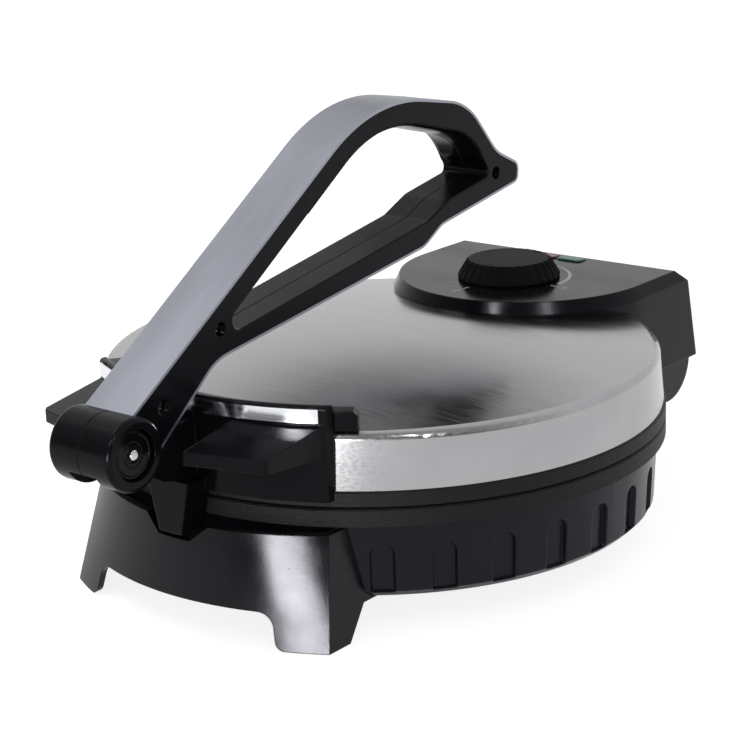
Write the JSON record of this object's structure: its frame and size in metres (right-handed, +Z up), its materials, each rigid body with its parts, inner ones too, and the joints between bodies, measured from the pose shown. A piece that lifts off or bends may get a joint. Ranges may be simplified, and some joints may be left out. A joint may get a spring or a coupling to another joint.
{
  "type": "electric roti maker",
  "caption": "Countertop flatbread cooker with two round heated plates, a hinged steel lid and a looped pressing lever.",
  "frame": {"origin": "on the ground, under the middle of the overall box", "axes": "+Z up, -Y towards the front where the lever pivots, +Y towards the hinge, +X to the user's right"},
  "size_m": [0.268, 0.375, 0.2078],
  "materials": {
    "black_moulding": "black moulded plastic with a low sheen",
    "bright_band": "satin aluminium strip",
    "cap_black": "glossy black plastic",
    "cast_plate": "cast aluminium with a dark non-stick coat",
    "ceramic": "pale ceramic",
    "dial_black": "black moulded plastic",
    "element_steel": "heat-darkened tube",
    "green_lens": "translucent green plastic",
    "lamp_sleeve": "pale heat-proof sleeve",
    "lever_black": "black moulded plastic with a fine grain",
    "pad_rubber": "soft black rubber",
    "red_lens": "translucent red plastic",
    "screw_steel": "bright plated screws",
    "shield_sheet": "thin mill-finish sheet",
    "steel_cover": "brushed stainless sheet",
    "trim_steel": "brushed strip",
    "zinc": "zinc-plated steel"
  },
  "bodies": {
    "base": {"base_tub": "black_moulding", "rear_feet": "black_moulding", "rubber_pads": "pad_rubber", "front_apron": "black_moulding", "apron_screws": "screw_steel", "rear_housing": "black_moulding", "hinge_pins": "zinc", "cord_gland": "dial_black", "terminal_block": "ceramic", "lower_plate": "cast_plate", "lower_element": "element_steel", "lower_heat_shield": "shield_sheet", "lower_shield_screws": "screw_steel", "plate_screws": "screw_steel", "thermal_fuse": "zinc", "rear_housing_screws": "screw_steel"},
    "lid": {"lid_cover": "steel_cover", "upper_plate": "cast_plate", "upper_element": "element_steel", "upper_heat_shield": "shield_sheet", "upper_shield_screws": "screw_steel", "lid_hinge_arms": "zinc", "arm_screws": "screw_steel", "control_housing": "black_moulding", "housing_screws": "screw_steel", "red_lens": "red_lens", "green_lens": "green_lens", "indicator_lamps": "lamp_sleeve", "thermostat": "zinc", "front_bracket": "black_moulding", "bracket_trim": "trim_steel", "bracket_screws": "screw_steel"},
    "dial": {"control_dial": "dial_black", "dial_shaft": "zinc"},
    "lever": {"lever_shell_right": "lever_black", "lever_shell_left": "lever_black", "lever_band": "bright_band", "lever_screws": "screw_steel", "pivot_caps": "cap_black", "pivot_screws": "screw_steel", "pivot_pin": "zinc"}
  },
  "joints": [
    {"name": "lid_hinge", "type": "hinge", "parent": "base", "child": "lid", "pos_m": [0, 0.16295, 0.0535], "axis": [-1, 0, 0], "range_deg": [0, 95]},
    {"name": "lever_pivot", "type": "hinge", "parent": "lid", "child": "lever", "pos_m": [0, -0.17155, 0.0912], "axis": [1, 0, 0], "range_deg": [-5, 100]},
    {"name": "dial_turn", "type": "hinge", "parent": "lid", "child": "dial", "pos_m": [0, 0.11595, 0.103], "axis": [0, 0, -1], "range_deg": [-196, 70]}
  ]
}
